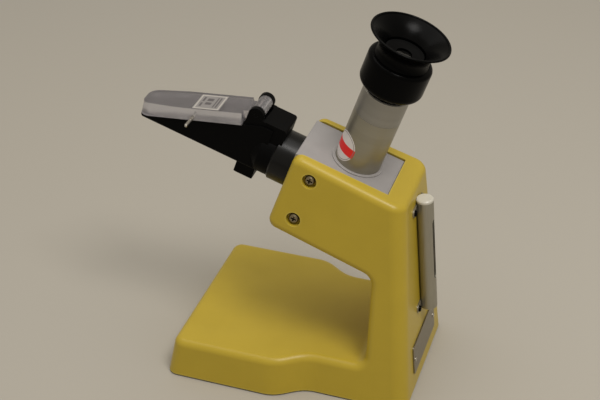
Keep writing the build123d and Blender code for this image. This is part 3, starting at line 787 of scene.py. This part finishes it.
FROSTED = Coated("frosted_film", tone(112, 107, 108), tone(140, 136, 136), roughness=0.75,
                 specular=0.3, grain_scale=7000.0, grain_depth=0.03 * MM)
RED_SPIRIT = Coated("red_spirit", tone(190, 28, 24), tone(200, 40, 34), roughness=0.2, dust=0.0)
SCALE_INK = Coated("scale_ink", tone(30, 30, 32), tone(30, 30, 32), roughness=0.5, dust=0.0)
TUBE_ALUMINIUM = Turned("tube_aluminium", tone(162, 157, 142), Axle.TUBE, roughness=0.37,
                        metallic=0.85)
SLEEVE_ALUMINIUM = Turned("sleeve_aluminium", tone(158, 155, 148), Axle.TUBE, roughness=0.34,
                          metallic=0.85)
PIN_STEEL = Turned("pin_steel", tone(190, 186, 178), Axle.ACROSS, roughness=0.25)
# The cross recess is darkened as painted shade.
SCREW_STEEL = Brushed("screw_steel", tone(150, 138, 112), (2500.0, 2500.0, 2500.0),
                      roughness=0.36, painted_shade=0.98, painted_shade_reach=2.2 * MM)
GUARD_METAL = Brushed("guard_metal", tone(172, 167, 152), (1800.0, 1800.0, 60.0), roughness=0.42,
                      metallic=0.85)
PLATE_METAL = Brushed("plate_metal", tone(152, 145, 131), (1500.0, 40.0, 1500.0), roughness=0.38)
SILVERED = Brushed("silvered", tone(225, 225, 225), (50.0, 50.0, 50.0), roughness=0.04)
LENS_GLASS = Clear("lens_glass", tone(225, 232, 228), ior=1.52, roughness=0.01, haze=0.02,
                   specular=0.15)
EYE_GLASS = Clear("eye_glass", tone(96, 102, 100), ior=1.52, roughness=0.01, haze=0.02,
                  specular=0.12)
PRISM_GLASS = Clear("prism_glass", tone(232, 236, 232), ior=1.6, roughness=0.02)
# The plate's sloped sides get a lighter tint as painted light.
CLEAR_ACRYLIC = Clear("clear_acrylic", tone(164, 159, 161), tone(226, 222, 223), roughness=0.08,
                      haze=0.1, milk=0.2)
TUBE_LABEL = Printed("tube_label", tone(226, 218, 212), tone(232, 30, 28), tone(128, 122, 116),
                     ((-0.5, 0.5, -0.2, 0.11),), (0.45, 0.465), round_label=True)
PLATE_LABEL = Printed("plate_label", tone(136, 131, 127), tone(84, 79, 79), tone(180, 173, 163),
                      ((0.26, 0.33, -0.33, -0.04), (0.26, 0.33, 0.06, 0.3),
                       (-0.06, 0.16, 0.02, 0.17), (-0.06, 0.16, -0.25, -0.08),
                       (-0.33, -0.28, -0.33, 0.33), (-0.22, -0.18, -0.33, 0.33)),
                      (0.42, 0.46))


# ------------------------------------------------------------------ meshes
def dress(shop: FinishShop, finish: Finish, *nodes: str) -> Iterator[bpy.types.Object]:
    """Gives CAD nodes their finish.

    Args:
        shop: Source of materials.
        finish: Finish to give.
        *nodes: CAD node names.

    Yields:
        Each dressed object.
    """
    for node in nodes:
        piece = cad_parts[node]
        for slot in piece.material_slots:
            slot.material = shop.get(finish)
        yield piece


def settle(name: str, form: bmesh.types.BMesh, material: bpy.types.Material, body: Body) -> bpy.types.Object:
    """Turns a finished bmesh into a piece that rides on a body.

    Args:
        name: Piece name.
        form: The mesh, already in place. It is freed.
        material: Its material.
        body: CAD body that carries it.

    Returns:
        The new object.
    """
    bmesh.ops.remove_doubles(form, verts=form.verts, dist=WELD)
    bmesh.ops.recalc_face_normals(form, faces=form.faces)
    mesh = bpy.data.meshes.new(name)
    form.to_mesh(mesh)
    form.free()
    mesh.materials.append(material)
    mesh.polygons.foreach_set("use_smooth", [True] * len(mesh.polygons))
    mesh.set_sharp_from_angle(angle=CREASE)
    piece = bpy.data.objects.new(name, mesh)
    bpy.context.scene.collection.objects.link(piece)
    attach(piece, body.value)
    return piece


def box(form: bmesh.types.BMesh, low: Sequence[float], high: Sequence[float],
        place: Matrix) -> None:
    """Adds a box.

    Args:
        form: Mesh to add to.
        low: Lowest corner in the box's own axes.
        high: Highest corner.
        place: Placement of those axes.
    """
    size = [b - a for a, b in zip(low, high)]
    middle = [(a + b) / 2 for a, b in zip(low, high)]
    shape = place @ Matrix.Translation(middle) @ Matrix.Diagonal((*size, 1.0))
    bmesh.ops.create_cube(form, size=1.0, matrix=shape)


def upright_edges(form: bmesh.types.BMesh, beyond: float = -math.inf) -> list[bmesh.types.BMEdge]:
    """Edges that run along Z in a flat box.

    Args:
        form: The box.
        beyond: Only edges with a greater X count.

    Returns:
        The edges.
    """
    return [edge for edge in form.edges
            if abs(edge.verts[0].co.z - edge.verts[1].co.z) > 0.05 * MM
            and all(vert.co.x > beyond for vert in edge.verts)]


def round_edges(form: bmesh.types.BMesh, edges: list[bmesh.types.BMEdge], radius: float,
                segments: int) -> None:
    """Rounds edges.

    Args:
        form: Mesh that holds them.
        edges: The edges.
        radius: Radius of the round.
        segments: Facets across it.
    """
    bmesh.ops.bevel(form, geom=edges, offset=radius, segments=segments, profile=0.5,
                    affect="EDGES", material=-1)


def axes(origin: Vector, x_dir: Vector, z_dir: Vector) -> Matrix:
    """Placement from an origin and two directions.

    Args:
        origin: Where the axes meet.
        x_dir: Direction of local X.
        z_dir: Direction of local Z.

    Returns:
        The placement matrix.
    """
    y_dir = z_dir.cross(x_dir)
    turn = Matrix((x_dir, y_dir, z_dir)).transposed().to_4x4()
    return Matrix.Translation(origin) @ turn


def tube_axes() -> Matrix:
    """Axes of the viewing tube: X towards the prism, Z up the tube, origin at its foot.

    Returns:
        The placement, taken from the foot ring's box.
    """
    low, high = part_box("foot_ring")
    along = Vector(Axle.TUBE.value)
    return axes((low + high) / 2 - along * FOOT_RING_HALF, Vector(Axle.OPTIC.value), along)


# ------------------------------------------------------------------ sub-assemblies
@dataclass
class Stand:
    """Yellow cast stand on its rubber pad."""

    shop: FinishShop

    def build(self) -> Iterator[bpy.types.Object]:
        """Dresses the stand and its pad.

        Yields:
            Each piece.
        """
        yield from dress(self.shop, YELLOW_CAST, "stand_moulding")
        yield from dress(self.shop, PAD_RUBBER, "base_pad")


@dataclass
class OpticalBlock:
    """Grey block between the cheeks, with its seat ring, mirror and side screws."""

    shop: FinishShop

    def build(self) -> Iterator[bpy.types.Object]:
        """Dresses the block, mirror and screws.

        Yields:
            Each piece.
        """
        yield from dress(self.shop, GREY_BLOCK, "optical_block", "foot_ring")
        yield from dress(self.shop, SILVERED, "fold_mirror")
        yield from dress(self.shop, SCREW_STEEL, "block_screws")


@dataclass
class ViewingTube:
    """Aluminium tube and sleeve with a round label low on its side."""

    shop: FinishShop
    radius: float = 12.5 * MM
    label_radius: float = 8.2 * MM
    label_height: float = 10.6 * MM
    label_turn: float = 43.0
    label_lift: float = 0.03 * MM
    label_thickness: float = 0.1 * MM
    label_segments: int = 72
    label_strips: int = 22

    def build(self) -> Iterator[bpy.types.Object]:
        """Dresses the tube and adds its label.

        Yields:
            Each piece.
        """
        yield from dress(self.shop, TUBE_ALUMINIUM, "barrel_tube")
        yield from dress(self.shop, SLEEVE_ALUMINIUM, "barrel_sleeve")
        yield from dress(self.shop, BLACK_BORE, "focus_neck", "reticle_ring")
        yield from dress(self.shop, LENS_GLASS, "reticle")
        yield from dress(self.shop, PIN_STEEL, "guide_pin")
        yield self.label()

    def label(self) -> bpy.types.Object:
        """Round label wrapped onto the tube.

        Returns:
            The label.
        """
        form = bmesh.new()
        bmesh.ops.create_circle(form, cap_ends=True, segments=self.label_segments,
                                radius=self.label_radius)
        for step in range(1, self.label_strips):
            cut = self.label_radius * (2 * step / self.label_strips - 1)
            bmesh.ops.bisect_plane(form, geom=form.verts[:] + form.edges[:] + form.faces[:],
                                   plane_co=(cut, 0, 0), plane_no=(1, 0, 0))
        sheet = form.loops.layers.uv.new("UVMap")
        for face in form.faces:
            for corner in face.loops:
                flat = corner.vert.co / (2 * self.label_radius)
                corner[sheet].uv = (flat.x + 0.5, flat.y + 0.5)
        reach = self.radius + self.label_lift
        for vert in form.verts:
            turn = math.radians(self.label_turn) + vert.co.x / reach
            vert.co = Vector((reach * math.cos(turn), reach * math.sin(turn),
                              self.label_height + vert.co.y))
        bmesh.ops.recalc_face_normals(form, faces=form.faces)
        first = form.faces[0]
        if first.normal.dot(first.calc_center_median() * Vector((1, 1, 0))) > 0:
            bmesh.ops.reverse_faces(form, faces=form.faces)
        bmesh.ops.solidify(form, geom=form.faces[:], thickness=self.label_thickness)
        bmesh.ops.transform(form, matrix=tube_axes(), verts=form.verts)
        return settle("tube_label", form, self.shop.get(TUBE_LABEL), Body.STAND)


@dataclass
class Eyepiece:
    """Focus ring, rubber eyecup and the lens carriage inside them."""

    shop: FinishShop

    def build(self) -> Iterator[bpy.types.Object]:
        """Dresses the eyepiece.

        Yields:
            Each piece.
        """
        yield from dress(self.shop, GRIP_RUBBER, "focus_ring", "eyecup")
        yield from dress(self.shop, BLACK_BORE, "lens_carriage", "field_lens_ring")
        yield from dress(self.shop, BLACK_METAL, "eye_lens_ring")
        yield from dress(self.shop, EYE_GLASS, "eye_lens", "field_lens")


@dataclass
class PrismHead:
    """Black prism body with its collar, glass and screws."""

    shop: FinishShop

    def build(self) -> Iterator[bpy.types.Object]:
        """Dresses the head.

        Yields:
            Each piece.
        """
        yield from dress(self.shop, BLACK_SATIN, "head_collar")
        yield from dress(self.shop, BLACK_METAL, "prism_body", "objective_ring", "hinge_pin")
        yield from dress(self.shop, PRISM_GLASS, "measuring_prism")
        yield from dress(self.shop, PAD_RUBBER, "prism_seal")
        yield from dress(self.shop, LENS_GLASS, "objective_lens")
        yield from dress(self.shop, SCREW_STEEL, "calibration_screw")


@dataclass
class CoverPlate:
    """Clear plate over the prism, with a frosted film, a label and a steel lifting pin."""

    shop: FinishShop
    face_angle: float = 22.7
    face_origin: tuple[float, float, float] = (57.5 * MM, 0.0, -2.3 * MM)
    film_start: float = 7.0 * MM
    film_end: float = 65.2 * MM
    film_half_width: float = 10.8 * MM
    film_low: float = 0.12 * MM
    film_high: float = 0.26 * MM
    film_round: float = 6.6 * MM
    nose_reach: float = 1.0 * MM
    label_low: tuple[float, float] = (18.5 * MM, -7.2 * MM)
    label_high: tuple[float, float] = (33.8 * MM, 8.8 * MM)
    label_floor: float = 6.31 * MM
    label_face: float = 6.42 * MM
    label_round: float = 0.8 * MM

    def build(self) -> Iterator[bpy.types.Object]:
        """Dresses the plate and adds its film and label.

        Yields:
            Each piece.
        """
        yield from dress(self.shop, CLEAR_ACRYLIC, "cover_plate")
        yield from dress(self.shop, PIN_STEEL, "lift_pin")
        yield self.film()
        yield self.label()

    def face_axes(self) -> Matrix:
        """Axes of the measuring face: X towards its tip, Z out of it.

        Returns:
            The placement.
        """
        slope = Matrix.Rotation(math.radians(self.face_angle), 4, "Y")
        return tube_axes() @ Matrix.Translation(self.face_origin) @ slope

    def film(self) -> bpy.types.Object:
        """Thin frosted film bonded under the plate.

        Returns:
            The film.
        """
        form = bmesh.new()
        box(form, (self.film_start, -self.film_half_width, self.film_low),
            (self.film_end, self.film_half_width, self.film_high), Matrix.Identity(4))
        nose = upright_edges(form, self.film_end - self.nose_reach)
        round_edges(form, nose, self.film_round, 10)
        bmesh.ops.transform(form, matrix=self.face_axes(), verts=form.verts)
        return settle("frosted_film", form, self.shop.get(FROSTED), Body.COVER)

    def label(self) -> bpy.types.Object:
        """Small square label on top of the plate.

        Returns:
            The label.
        """
        form = bmesh.new()
        box(form, (*self.label_low, self.label_floor), (*self.label_high, self.label_face),
            Matrix.Identity(4))
        round_edges(form, upright_edges(form), self.label_round, 4)
        sheet = form.loops.layers.uv.new("UVMap")
        for face in form.faces:
            for corner in face.loops:
                corner[sheet].uv = [(p - a) / (b - a) for p, a, b in
                                    zip(corner.vert.co[:2], self.label_low, self.label_high)]
        bmesh.ops.transform(form, matrix=self.face_axes(), verts=form.verts)
        return settle("plate_label", form, self.shop.get(PLATE_LABEL), Body.COVER)


@dataclass
class Thermometer:
    """Thermometer behind its slotted guard: spirit column and a marked scale strip."""

    shop: FinishShop
    guard_out: float = 4.1 * MM
    column_radius: float = 0.3 * MM
    column_low: float = 46.0 * MM
    column_high: float = 84.0 * MM
    strip_face: float = -1.95 * MM
    mark_low: float = 60.0 * MM
    mark_high: float = 102.0 * MM
    mark_count: int = 43
    mark_width: float = 0.16 * MM
    short_mark: float = 0.35 * MM
    long_mark: float = 0.65 * MM
    mark_thickness: float = 0.03 * MM
    strip_edge: float = 2.55 * MM
    plate_half: float = 0.4 * MM

    def build(self) -> Iterator[bpy.types.Object]:
        """Dresses the thermometer and adds its column and marks.

        Yields:
            Each piece.
        """
        yield from dress(self.shop, GUARD_METAL, "thermometer_guard", "guard_tabs")
        yield from dress(self.shop, WHITE_PLASTIC, "guard_cap", "thermometer_scale")
        yield from dress(self.shop, BLACK_BORE, "guard_plug")
        yield from dress(self.shop, LENS_GLASS, "thermometer")
        yield from dress(self.shop, BLACK_METAL, "tab_screws")
        yield self.column()
        yield self.marks()

    def back_axes(self) -> Matrix:
        """Axes of the guard on the leaning back: X out of it, Z up it, origin at bench height.

        Returns:
            The placement, taken from the nameplate's box.
        """
        up = Vector(Axle.UP.value)
        out = Vector((up.z, 0.0, -up.x))
        low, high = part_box("nameplate")
        middle = (low + high) / 2
        foot = middle - up * middle.z / up.z - out * self.plate_half
        return axes(foot, out, up) @ Matrix.Translation((self.guard_out, 0, 0))

    def column(self) -> bpy.types.Object:
        """Red spirit column in the stem.

        Returns:
            The column.
        """
        form = bmesh.new()
        length = self.column_high - self.column_low
        bmesh.ops.create_cone(form, cap_ends=True, segments=16, radius1=self.column_radius,
                              radius2=self.column_radius, depth=length,
                              matrix=Matrix.Translation((0, 0, self.column_low + length / 2)))
        bmesh.ops.transform(form, matrix=self.back_axes(), verts=form.verts)
        return settle("spirit_column", form, self.shop.get(RED_SPIRIT), Body.STAND)

    def marks(self) -> bpy.types.Object:
        """Plain scale marks on both sides of the strip, every fifth one longer.

        Returns:
            The marks.
        """
        form = bmesh.new()
        step = (self.mark_high - self.mark_low) / (self.mark_count - 1)
        place = self.back_axes()
        for index in range(self.mark_count):
            length = self.long_mark if index % 5 == 0 else self.short_mark
            middle = self.mark_low + index * step
            for side in (-1, 1):
                edges = sorted((side * self.strip_edge, side * (self.strip_edge - length)))
                box(form, (self.strip_face, edges[0], middle - self.mark_width / 2),
                    (self.strip_face + self.mark_thickness, edges[1],
                     middle + self.mark_width / 2), place)
        return settle("scale_marks", form, self.shop.get(SCALE_INK), Body.STAND)


@dataclass
class BackPlate:
    """Blank metal plate on the back, held by two pins."""

    shop: FinishShop

    def build(self) -> Iterator[bpy.types.Object]:
        """Dresses the plate and pins.

        Yields:
            Each piece.
        """
        yield from dress(self.shop, PLATE_METAL, "nameplate")
        yield from dress(self.shop, PIN_STEEL, "nameplate_pins")


# ------------------------------------------------------------------ studio
@dataclass(frozen=True)
class Lamp:
    """Square soft light aimed at a point."""

    name: str
    place: tuple[float, float, float]
    size: float
    power: float
    tint: tuple[float, float, float] = (1.0, 0.98, 0.95)


@dataclass
class Studio:
    """Plain pale floor, soft lamps, even surroundings and the camera."""

    floor_tone: Colour = tone(174, 168, 156)
    floor_warmth: Direction = (1.02, 1.0, 0.97)
    floor_radius: float = 6.0
    ambient: float = 0.43
    ambient_tint: Colour = (1.0, 0.985, 0.96, 1.0)
    target: tuple[float, float, float] = (-0.00619, 0.0, 0.09685)
    azimuth: float = 18.46
    elevation: float = 33.43
    distance: float = 0.69617
    roll: float = -0.1
    focal_length: float = 76.67
    sensor_width: float = 36.0
    clip: tuple[float, float] = (0.01, 50.0)
    lamps: tuple[Lamp, ...] = (
        Lamp("key", (0.42, -0.29, 1.08), 0.36, 5.8),
        Lamp("overhead", (-0.1, 0.1, 1.3), 1.1, 5.4),
    )

    def build(self) -> None:
        """Makes the floor, world, lamps and camera."""
        self.floor()
        self.world()
        for lamp in self.lamps:
            self.light(lamp)
        self.camera()

    def floor(self) -> None:
        """Wide matt floor just under the stand."""
        form = bmesh.new()
        bmesh.ops.create_circle(form, cap_ends=True, segments=96, radius=self.floor_radius)
        mesh = bpy.data.meshes.new("floor")
        form.to_mesh(mesh)
        form.free()
        made = Mix("floor_matt")
        cloud = made.graph.noise(made.place, 3.0, 3.0)
        warm = (*(c * k for c, k in zip(self.floor_tone, self.floor_warmth)), 1.0)
        made.set(Base_Color=made.graph.blend(cloud, self.floor_tone, warm), Roughness=0.9,
                 Specular_IOR_Level=0.1)
        mesh.materials.append(made.material)
        ground = bpy.data.objects.new("floor", mesh)
        bpy.context.scene.collection.objects.link(ground)

    def world(self) -> None:
        """Even surroundings: plain light, in the floor's tone where they are seen or mirrored."""
        world = bpy.data.worlds.new("surroundings")
        bpy.context.scene.world = world
        world.use_nodes = True
        graph = Graph(world.node_tree)
        world.node_tree.nodes.clear()
        path = graph.add("ShaderNodeLightPath")
        mirrored = graph.calc("MAXIMUM", path.outputs["Is Glossy Ray"],
                              path.outputs["Is Transmission Ray"])
        seen = graph.calc("MAXIMUM", path.outputs["Is Camera Ray"], mirrored)
        light = graph.add("ShaderNodeBackground")
        graph.feed(light.inputs["Color"], self.ambient_tint)
        graph.feed(light.inputs["Strength"], self.ambient)
        back = graph.add("ShaderNodeBackground")
        graph.feed(back.inputs["Color"], self.floor_tone)
        graph.feed(back.inputs["Strength"], graph.fit(mirrored, 0.0, 1.0, self.ambient, 1.0))
        choice = graph.add("ShaderNodeMixShader")
        for socket, value in zip(choice.inputs, (seen, light.outputs[0], back.outputs[0])):
            graph.feed(socket, value)
        graph.feed(graph.add("ShaderNodeOutputWorld").inputs["Surface"], choice.outputs[0])

    def light(self, lamp: Lamp) -> None:
        """Adds one lamp.

        Args:
            lamp: Its place, size and power.
        """
        data = bpy.data.lights.new(lamp.name, "AREA")
        data.shape, data.size = "SQUARE", lamp.size
        data.energy, data.color = lamp.power, lamp.tint
        made = bpy.data.objects.new(lamp.name, data)
        made.location = lamp.place
        aim = Vector(self.target) - Vector(lamp.place)
        made.rotation_euler = aim.to_track_quat("-Z", "Y").to_euler()
        bpy.context.scene.collection.objects.link(made)

    def camera(self) -> None:
        """Adds the camera that looks at the middle of the object."""
        data = bpy.data.cameras.new("camera")
        data.lens, data.sensor_width = self.focal_length, self.sensor_width
        data.clip_start, data.clip_end = self.clip
        made = bpy.data.objects.new("camera", data)
        turn, rise = math.radians(self.azimuth), math.radians(self.elevation)
        back = Vector((math.sin(turn) * math.cos(rise), -math.cos(turn) * math.cos(rise),
                       math.sin(rise)))
        aim = (-back).to_track_quat("-Z", "Y").to_matrix().to_4x4()
        spot = Matrix.Translation(Vector(self.target) + back * self.distance)
        made.matrix_world = spot @ aim @ Matrix.Rotation(math.radians(self.roll), 4, "Z")
        bpy.context.scene.collection.objects.link(made)
        bpy.context.scene.camera = made


def main() -> None:
    """Builds every sub-assembly and the studio."""
    logging.basicConfig(level=logging.INFO, format="%(name)s: %(message)s")
    shop = FinishShop(Effects())
    for kind in (Stand, OpticalBlock, ViewingTube, Eyepiece, PrismHead, CoverPlate, Thermometer,
                 BackPlate):
        for piece in kind(shop).build():
            LOG.info("%s: %s, %d faces", kind.__name__, piece.name, len(piece.data.polygons))
    Studio().build()
    bpy.context.scene.view_settings.view_transform = "Standard"


if __name__ == "__main__":
    main()
